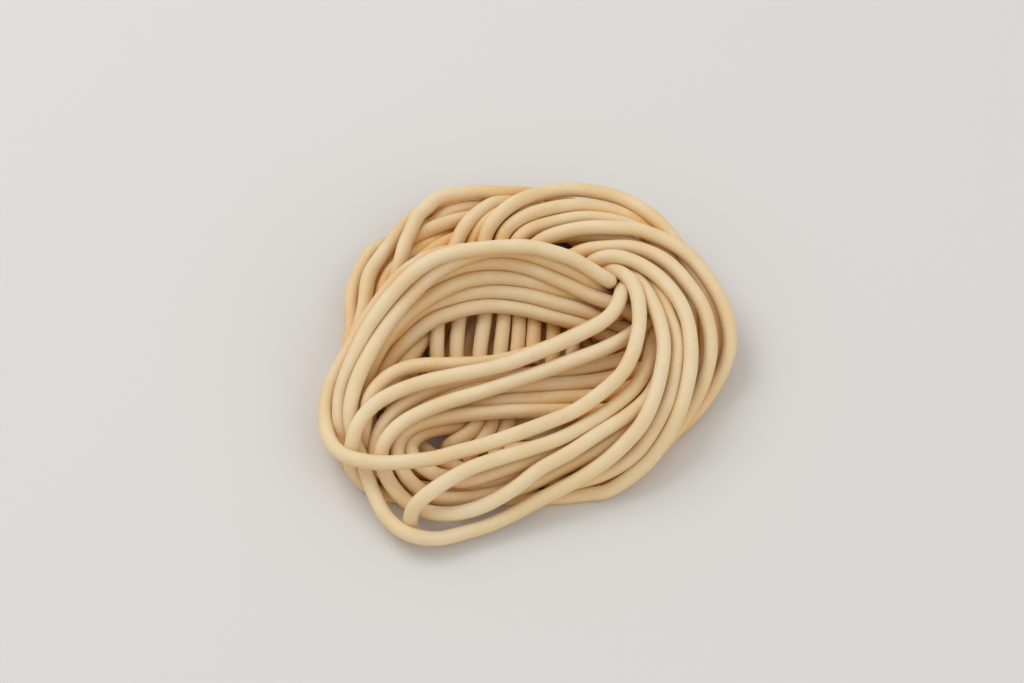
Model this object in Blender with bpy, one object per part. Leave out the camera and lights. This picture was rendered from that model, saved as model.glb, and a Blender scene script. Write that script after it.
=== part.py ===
"""A nest of fresh bucatini: one bundle of round pasta strands wound into loops, lying on its flat underside.

The strands are laid by routes. A route is a short list of places (across, up, height) in millimetres, read
the way the nest is looked at, from its front and 55 degrees above the board. Across and up are measured in
that view from the nest's middle, and height is the strand's own centre line above the board.
"""
import math

import bmesh
import bpy
import numpy as np

MM = 0.001

STRAND_THICKNESS = 3.0
STRAND_SEGMENT = 6.6
STRAND_BEVEL_RESOLUTION = 1
LOWEST_CENTRE = 0.5 * STRAND_THICKNESS + 0.06

VIEW_ELEVATION = math.radians(55.0)
VIEW_DISTANCE = 600.0
VIEW_CENTRE_HEIGHT = 10.0
NEST_MIDDLE = (-0.05, 3.8)

CORE_RADIUS = 26.0
CORE_HEIGHT = 3.4
CORE_MIDDLE = (1.5, 0.0)
CORE_SEGMENTS = 24
CORE_LEVELS = 3

COIL_HEIGHTS = (1.6, 4.3, 7.0)
COIL_RADIUS = 36.5
COIL_STEP = 1.4
COIL_SEGMENTS = 30

PASTA_COLOUR = (0.80, 0.62, 0.38, 1.0)
PASTA_ROUGHNESS = 0.62

LONE_ROUTES = {
    "over_loop": [
        (11.6, 19.4, 5.0), (17.2, 18.0, 10.5), (21.0, 14.8, 14.0), (22.0, 9.0, 15.0), (20.6, 2.6, 15.0),
        (15.4, -4.2, 14.0), (7.0, -8.4, 13.0), (-4.0, -12.0, 12.5), (-15.0, -15.6, 12.5), (-25.0, -18.2, 12.0),
        (-33.6, -18.4, 10.0), (-39.2, -14.4, 7.5), (-40.6, -7.8, 7.0), (-38.4, 0.4, 10.5), (-33.6, 7.4, 14.0),
        (-26.8, 15.6, 16.0), (-18.0, 21.8, 17.0), (-7.6, 24.2, 17.5), (3.0, 23.0, 17.0), (12.0, 19.0, 15.5),
        (15.6, 16.8, 12.5), (16.4, 14.8, 7.0),
    ],
    "arch_loop": [
        (17.2, 13.0, 7.0), (14.0, 15.8, 13.5), (6.0, 20.0, 18.0), (-3.0, 23.4, 20.0), (-12.0, 22.4, 20.0),
        (-20.0, 18.0, 19.0), (-26.4, 11.2, 17.0), (-31.2, 2.6, 14.0), (-34.8, -5.4, 11.5), (-35.2, -13.0, 9.0),
        (-32.4, -21.0, 5.5), (-30.8, -26.4, 4.5), (-26.0, -32.4, 4.0), (-18.4, -34.4, 4.0), (-8.0, -31.4, 5.0),
        (4.0, -25.6, 7.0), (14.0, -19.6, 9.5), (21.6, -12.4, 12.0), (25.4, -5.0, 13.5), (26.4, 4.0, 14.5),
        (25.0, 11.4, 14.5), (21.6, 16.6, 12.5), (16.4, 18.8, 8.5),
    ],
    "diagonal": [
        (19.4, 17.8, 4.0), (19.0, 14.8, 11.0), (16.4, 10.6, 14.5), (10.0, 6.2, 15.0), (0.0, 1.8, 14.0),
        (-10.0, -0.8, 13.5), (-20.0, -3.0, 12.5), (-27.4, -6.2, 11.5), (-32.2, -11.2, 10.5), (-34.4, -16.2, 8.5),
        (-33.6, -20.6, 4.0),
    ],
    "second_diagonal": [
        (24.4, 9.4, 9.0), (20.4, 5.2, 11.5), (12.0, 1.8, 12.0), (2.0, -1.8, 11.5), (-8.0, -4.8, 11.0),
        (-18.0, -7.6, 10.5), (-26.0, -12.0, 9.0), (-30.4, -16.8, 7.5), (-28.8, -22.6, 5.0), (-25.0, -27.0, 4.2),
        (-18.0, -29.2, 5.2), (-10.0, -27.2, 7.0), (0.0, -21.0, 9.0), (10.0, -15.4, 10.0), (19.0, -9.6, 10.0),
        (24.4, -2.0, 9.5), (26.0, 7.0, 9.0),
    ],
    "hook": [
        (-22.8, -33.2, 1.6), (-24.2, -31.2, 5.5), (-23.2, -28.4, 9.5), (-19.2, -24.6, 11.5), (-12.0, -20.2, 11.5),
        (-2.0, -16.4, 11.0), (8.0, -12.6, 11.0), (17.0, -8.6, 11.0), (23.0, -2.6, 10.0), (25.0, 5.0, 9.0),
    ],
    "low_turn": [
        (23.0, -7.0, 6.5), (14.0, -8.8, 7.0), (4.0, -9.0, 7.2), (-6.0, -9.2, 7.2), (-16.0, -10.4, 7.2),
        (-23.6, -12.6, 7.0), (-27.0, -16.4, 6.5), (-26.2, -21.4, 5.2), (-22.0, -25.8, 4.0), (-14.0, -27.2, 3.6),
        (-4.0, -25.2, 4.6), (6.0, -20.8, 6.2), (15.0, -16.0, 7.5), (22.0, -9.4, 8.0), (25.6, -1.0, 8.0),
    ],
    "inner_turn": [
        (-2.0, -11.2, 4.0), (-10.0, -11.6, 4.6), (-18.0, -12.8, 5.0), (-23.4, -14.4, 5.0), (-24.4, -17.4, 5.2),
        (-21.0, -20.8, 6.0), (-14.0, -23.0, 6.8), (-6.0, -21.2, 7.6), (3.0, -18.0, 8.0), (12.0, -13.6, 8.2),
        (20.0, -7.6, 8.0),
    ],
    "top_left_arch": [
        (26.0, 19.0, 2.2), (16.0, 27.0, 3.6), (6.0, 31.0, 5.5), (-3.0, 33.0, 7.5), (-11.0, 33.9, 8.5),
        (-18.0, 32.4, 9.5), (-22.2, 28.2, 10.2), (-24.0, 23.0, 9.8), (-26.8, 16.0, 8.0), (-27.8, 8.0, 5.5),
        (-26.4, -1.0, 3.0), (-24.2, -12.6, 2.0), (-19.6, -18.2, 2.0), (-12.0, -21.8, 1.8),
    ],
    "left_outer": [
        (26.0, 14.0, 2.0), (17.0, 24.5, 2.4), (7.0, 29.0, 3.2), (-4.0, 30.8, 4.2), (-15.0, 31.4, 5.0),
        (-23.6, 28.8, 7.0), (-29.0, 24.0, 8.4), (-32.6, 17.4, 9.0), (-33.4, 10.6, 9.0), (-36.0, 3.0, 9.0),
        (-37.8, -4.0, 8.6), (-37.8, -11.0, 7.4), (-35.6, -18.6, 4.4), (-33.2, -24.4, 1.8),
    ],
    "left_low": [
        (6.0, 25.5, 1.7), (-7.0, 27.6, 2.0), (-18.0, 27.2, 3.0), (-26.4, 24.4, 4.0), (-32.4, 20.6, 5.6),
        (-35.2, 14.6, 6.4), (-35.2, 8.0, 6.6), (-37.8, 0.0, 5.4), (-39.6, -7.4, 4.0), (-38.4, -14.2, 2.6),
        (-34.8, -19.8, 1.7), (-27.6, -25.4, 1.7),
    ],
    "slanting": [
        (-12.4, 15.4, 2.4), (-17.6, 8.6, 2.2), (-22.0, 3.0, 2.0), (-26.4, -2.6, 1.8), (-29.2, -9.4, 1.8),
    ],
    "eye_turn": [
        (8.0, -24.6, 2.0), (16.4, -20.6, 4.5), (23.0, -14.6, 8.0), (27.2, -7.4, 10.6), (29.0, 2.0, 12.6),
        (27.6, 11.0, 12.6), (24.0, 16.6, 11.0), (18.4, 19.0, 8.0), (13.2, 19.0, 5.0),
    ],
}

# Each sheaf is a band of strands side by side between two routes, one strand at each share of the way across.
SHEAVES = {
    "fan": ((0.0, 0.5, 1.0), [
        (13.6, -24.2, 3.4), (23.0, -18.4, 7.0), (29.2, -10.2, 10.5), (31.8, 0.6, 12.8), (30.2, 11.0, 13.6),
        (25.0, 18.0, 13.0), (17.6, 20.8, 12.0), (12.0, 19.4, 9.5), (10.0, 14.6, 5.0), (12.0, 8.0, 3.0),
        (12.8, 0.0, 2.2),
    ], [
        (16.4, -23.0, 1.8), (27.6, -15.0, 3.0), (35.6, -6.2, 5.6), (39.8, 3.0, 8.0), (38.0, 13.0, 9.6),
        (30.4, 22.6, 11.4), (18.4, 27.4, 12.0), (6.0, 26.2, 12.0), (0.8, 20.6, 9.5), (1.0, 11.0, 5.0),
        (0.2, 0.0, 2.8),
    ]),
    "back": ((0.0, 0.55, 1.0), [
        (14.0, -21.0, 1.8), (27.6, -13.4, 2.4), (35.2, -3.4, 4.6), (37.6, 6.0, 6.2), (34.8, 15.8, 8.0),
        (26.8, 25.8, 9.4), (15.0, 33.6, 9.6), (3.0, 33.8, 10.0), (-5.4, 29.0, 10.2), (-8.6, 22.0, 8.8),
        (-8.8, 11.0, 5.0), (-10.0, 1.0, 3.4), (-10.8, -10.0, 3.0), (-16.8, -15.0, 3.0), (-21.0, -21.0, 2.0),
    ], [
        (6.0, -19.0, 1.8), (20.0, -12.0, 1.8), (29.2, -3.0, 2.4), (32.8, 6.0, 3.4), (30.8, 16.0, 5.4),
        (24.0, 23.8, 7.6), (15.0, 28.8, 9.4), (5.6, 28.2, 10.0), (-1.0, 25.0, 9.4), (-2.4, 19.4, 7.6),
        (-2.0, 10.0, 4.6), (-2.8, 1.0, 3.2), (-3.2, -7.0, 2.6), (-3.4, -13.0, 2.0), (-3.6, -19.0, 1.8),
    ]),
    "comb": ((0.0, 1.0), [
        (12.0, 27.4, 6.6), (3.0, 31.2, 8.2), (-5.4, 32.0, 9.8), (-10.6, 28.6, 10.0), (-14.4, 23.0, 8.6),
        (-17.6, 14.0, 5.6), (-18.6, 5.0, 4.0), (-17.8, -4.0, 2.8), (-15.0, -12.0, 2.0), (-8.0, -19.0, 1.8),
    ], [
        (13.6, 26.4, 6.8), (4.6, 30.6, 8.6), (-3.6, 31.8, 10.2), (-8.2, 28.2, 10.6), (-11.2, 22.6, 9.4),
        (-13.4, 13.4, 6.0), (-14.6, 4.0, 4.0), (-13.8, -5.0, 2.8), (-11.0, -13.0, 2.0), (-4.0, -19.4, 1.8),
    ]),
    "arches": ((0.0, 0.3, 0.66, 1.0), [
        (12.4, 16.2, 11.0), (6.0, 19.4, 14.5), (-3.0, 21.0, 16.0), (-12.0, 20.0, 15.6), (-21.0, 15.0, 14.0),
        (-27.6, 8.0, 12.0), (-32.0, 0.0, 10.0), (-34.8, -8.0, 7.0),
    ], [
        (16.4, 6.8, 7.0), (8.0, 9.6, 9.0), (-3.0, 11.8, 9.2), (-13.0, 10.6, 9.0), (-21.6, 7.2, 8.2),
        (-27.4, 3.0, 7.0), (-31.2, -3.4, 5.4), (-33.4, -11.0, 4.0),
    ]),
    "middle": ((0.0, 0.5, 1.0), [
        (25.0, 3.0, 6.5), (16.0, 0.2, 8.0), (6.0, -1.8, 8.4), (-6.0, -3.4, 8.6), (-16.0, -5.2, 9.0),
        (-23.6, -8.2, 8.6), (-28.8, -12.4, 7.4), (-30.8, -18.0, 5.0),
    ], [
        (23.0, -5.4, 6.0), (14.0, -6.4, 7.0), (4.0, -6.4, 7.0), (-6.0, -6.8, 6.8), (-14.0, -8.2, 6.4),
        (-20.0, -10.2, 5.6), (-24.4, -13.0, 4.6), (-26.4, -17.4, 3.4),
    ]),
    "left_inner": ((0.0, 0.5, 1.0), [
        (-8.0, 27.0, 3.5), (-16.4, 28.6, 4.6), (-22.4, 25.8, 6.0), (-26.8, 21.8, 6.8), (-29.6, 16.6, 7.2),
        (-30.8, 10.0, 7.0), (-32.8, 2.0, 6.0), (-35.6, -7.0, 4.6), (-36.0, -15.0, 3.0),
    ], [
        (-2.0, 24.0, 6.0), (-9.6, 26.6, 7.0), (-15.0, 25.2, 8.2), (-20.4, 22.8, 8.8), (-25.0, 19.0, 8.6),
        (-27.2, 12.0, 7.0), (-28.4, 4.0, 4.4), (-28.8, -4.0, 2.8), (-28.0, -13.0, 1.8),
    ]),
    "crescent": ((0.0, 1.0), [
        (15.0, 26.0, 4.6), (7.0, 29.8, 5.0), (-2.0, 31.4, 5.4), (-9.0, 31.6, 6.0), (-15.0, 30.8, 6.8),
        (-19.2, 28.6, 7.0), (-22.0, 25.0, 6.6), (-23.6, 20.0, 5.6),
    ], [
        (12.0, 25.0, 6.0), (4.0, 28.6, 6.4), (-4.0, 30.0, 6.6), (-10.4, 29.4, 7.2), (-15.0, 28.2, 7.8),
        (-19.2, 26.4, 8.0), (-22.4, 23.8, 7.8), (-24.8, 19.4, 7.0),
    ]),
}


def clear_scene():
    """Removes every object that the file opens with."""
    for thing in list(bpy.data.objects):
        bpy.data.objects.remove(thing, do_unlink=True)


def real_place(across, up, height):
    """Turns a place read in the view into millimetres across, towards the back and above the board."""
    sine, cosine = math.sin(VIEW_ELEVATION), math.cos(VIEW_ELEVATION)
    rise = height - VIEW_CENTRE_HEIGHT
    depth_share = up / VIEW_DISTANCE
    back = (up - depth_share * rise * sine - rise * cosine) / (sine - depth_share * cosine)
    distance = VIEW_DISTANCE + back * cosine - rise * sine
    return (across * distance / VIEW_DISTANCE - NEST_MIDDLE[0], back - NEST_MIDDLE[1], height)


def smooth_route(places, spacing):
    """Returns points at about the given spacing on a smooth curve through the places."""
    knots = np.array([real_place(*place) for place in places])
    before = 2.0 * knots[0] - knots[1]
    after = 2.0 * knots[-1] - knots[-2]
    knots = np.vstack([before, knots, after])
    points = []
    for index in range(1, len(knots) - 2):
        p0, p1, p2, p3 = knots[index - 1:index + 3]
        steps = 16
        for t in np.arange(steps) / steps:
            points.append(0.5 * (2.0 * p1 + (p2 - p0) * t + (2.0 * p0 - 5.0 * p1 + 4.0 * p2 - p3) * t ** 2
                                 + (3.0 * p1 - p0 - 3.0 * p2 + p3) * t ** 3))
    points.append(knots[-2])
    points = np.array(points)
    along = np.concatenate([[0.0], np.cumsum(np.linalg.norm(np.diff(points, axis=0), axis=1))])
    wanted = np.linspace(0.0, along[-1], max(3, round(along[-1] / spacing) + 1))
    even = np.column_stack([np.interp(wanted, along, points[:, axis]) for axis in range(3)])
    even[:, 2] = np.maximum(even[:, 2], LOWEST_CENTRE)
    return even


def all_routes():
    """Lists every strand's name and places, the lone ones first and then those of each sheaf."""
    routes = list(LONE_ROUTES.items())
    for name, (shares, near_edge, far_edge) in SHEAVES.items():
        for number, share in enumerate(shares):
            places = [tuple(a + (b - a) * share for a, b in zip(near, far))
                      for near, far in zip(near_edge, far_edge)]
            routes.append((f"{name}_{number}", places))
    return routes


def add_strand(name, points, collection, closed=False):
    """Adds one strand as a closed tube along the points and returns its object."""
    curve = bpy.data.curves.new(name, "CURVE")
    curve.dimensions = "3D"
    curve.bevel_depth = 0.5 * STRAND_THICKNESS * MM
    curve.bevel_resolution = STRAND_BEVEL_RESOLUTION
    curve.use_fill_caps = not closed
    spline = curve.splines.new("POLY")
    spline.points.add(len(points) - 1)
    for knot, point in zip(spline.points, points):
        knot.co = (*(point * MM), 1.0)
    spline.use_cyclic_u = closed
    guide = bpy.data.objects.new(name + "_guide", curve)
    collection.objects.link(guide)
    mesh = bpy.data.meshes.new_from_object(guide.evaluated_get(bpy.context.evaluated_depsgraph_get()))
    bpy.data.objects.remove(guide, do_unlink=True)
    strand = bpy.data.objects.new(name, mesh)
    collection.objects.link(strand)
    return strand


def coil_points(height, radius):
    """Returns the points of one flat turn that runs round the foot of the nest."""
    turns = 2.0 * math.pi * np.arange(COIL_SEGMENTS) / COIL_SEGMENTS
    reach = radius * (1.0 + 0.03 * np.cos(3.0 * turns))
    return np.column_stack([reach * np.cos(turns), reach * np.sin(turns), np.full(COIL_SEGMENTS, height)])


def core_mesh():
    """Makes the low mound that the strands lie on, with its flat foot on the board."""
    mesh = bpy.data.meshes.new("core")
    shape = bmesh.new()
    rings = []
    for level in range(CORE_LEVELS):
        lean = 0.5 * math.pi * level / CORE_LEVELS
        rings.append([
            shape.verts.new((
                (CORE_MIDDLE[0] + CORE_RADIUS * math.cos(lean) * math.cos(turn)) * MM,
                (CORE_MIDDLE[1] + CORE_RADIUS * math.cos(lean) * math.sin(turn)) * MM,
                CORE_HEIGHT * math.sin(lean) * MM,
            ))
            for turn in (2.0 * math.pi * step / CORE_SEGMENTS for step in range(CORE_SEGMENTS))
        ])
    top = shape.verts.new((CORE_MIDDLE[0] * MM, CORE_MIDDLE[1] * MM, CORE_HEIGHT * MM))
    shape.faces.new(reversed(rings[0]))
    for low, high in zip(rings, rings[1:]):
        for step in range(CORE_SEGMENTS):
            after = (step + 1) % CORE_SEGMENTS
            shape.faces.new((low[step], low[after], high[after], high[step]))
    for step in range(CORE_SEGMENTS):
        shape.faces.new((rings[-1][step], rings[-1][(step + 1) % CORE_SEGMENTS], top))
    shape.to_mesh(mesh)
    shape.free()
    return mesh


def keep_largest_body(mesh):
    """Keeps the nest's outer skin and drops loose scraps and the skins of sealed hollows."""
    shape = bmesh.new()
    shape.from_mesh(mesh)
    waiting = set(shape.verts)
    groups = []
    while waiting:
        group = set()
        edge_of_group = [waiting.pop()]
        while edge_of_group:
            vert = edge_of_group.pop()
            group.add(vert)
            for edge in vert.link_edges:
                other = edge.other_vert(vert)
                if other in waiting:
                    waiting.remove(other)
                    edge_of_group.append(other)
        groups.append(group)
    largest = max(groups, key=len)
    spare = [vert for group in groups if group is not largest for vert in group]
    bmesh.ops.delete(shape, geom=spare, context="VERTS")
    bmesh.ops.triangulate(shape, faces=shape.faces[:])
    shape.to_mesh(mesh)
    shape.free()


def pasta_material():
    """Makes the plain wheat colour of the nest."""
    material = bpy.data.materials.new("fresh_pasta")
    material.use_nodes = True
    shader = material.node_tree.nodes["Principled BSDF"]
    shader.inputs["Base Color"].default_value = PASTA_COLOUR
    shader.inputs["Roughness"].default_value = PASTA_ROUGHNESS
    shader.inputs["Metallic"].default_value = 0.0
    return material


def build_nest():
    """Fuses the core and every strand into one solid."""
    nest = bpy.data.objects.new("bucatini_nest", core_mesh())
    bpy.context.scene.collection.objects.link(nest)
    strands = bpy.data.collections.new("strands")
    bpy.context.scene.collection.children.link(strands)
    for name, places in all_routes():
        add_strand(name, smooth_route(places, STRAND_SEGMENT), strands)
    for turn, height in enumerate(COIL_HEIGHTS):
        add_strand(f"coil_{turn}", coil_points(height, COIL_RADIUS - COIL_STEP * turn), strands, closed=True)

    union = nest.modifiers.new("fuse", "BOOLEAN")
    union.operation = "UNION"
    union.operand_type = "COLLECTION"
    union.collection = strands
    union.solver = "EXACT"
    fused = bpy.data.meshes.new_from_object(nest.evaluated_get(bpy.context.evaluated_depsgraph_get()))
    nest.modifiers.remove(union)
    nest.data = fused
    for strand in list(strands.objects):
        bpy.data.objects.remove(strand, do_unlink=True)
    bpy.data.collections.remove(strands)

    keep_largest_body(fused)
    fused.materials.clear()
    fused.materials.append(pasta_material())
    fused.shade_smooth()
    fused.set_sharp_from_angle(angle=math.radians(50.0))
    return nest


clear_scene()
build_nest()
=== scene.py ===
"""The looks of a nest of fresh bucatini: real strands settled over a low bed, with a floury wheat finish."""
import logging
import math
from dataclasses import dataclass
from enum import Enum
from typing import Any

import bmesh
import bpy
import numpy as np
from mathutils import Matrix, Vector
from mathutils.kdtree import KDTree


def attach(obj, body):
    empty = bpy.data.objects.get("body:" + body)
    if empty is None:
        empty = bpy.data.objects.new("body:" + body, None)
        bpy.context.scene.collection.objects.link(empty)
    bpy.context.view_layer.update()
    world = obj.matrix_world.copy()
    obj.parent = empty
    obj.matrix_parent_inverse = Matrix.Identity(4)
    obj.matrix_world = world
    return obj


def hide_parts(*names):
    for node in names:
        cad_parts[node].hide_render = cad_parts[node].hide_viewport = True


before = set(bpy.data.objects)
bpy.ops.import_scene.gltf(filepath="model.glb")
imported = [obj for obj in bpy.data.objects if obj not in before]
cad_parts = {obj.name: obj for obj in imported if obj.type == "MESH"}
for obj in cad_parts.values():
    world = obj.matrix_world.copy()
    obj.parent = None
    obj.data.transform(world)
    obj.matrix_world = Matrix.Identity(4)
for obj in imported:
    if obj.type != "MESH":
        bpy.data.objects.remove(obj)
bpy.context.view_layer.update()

LOG = logging.getLogger("bucatini_nest")
MM = 0.001
NODE = "bucatini_nest"
Place = tuple[float, float, float]

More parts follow.
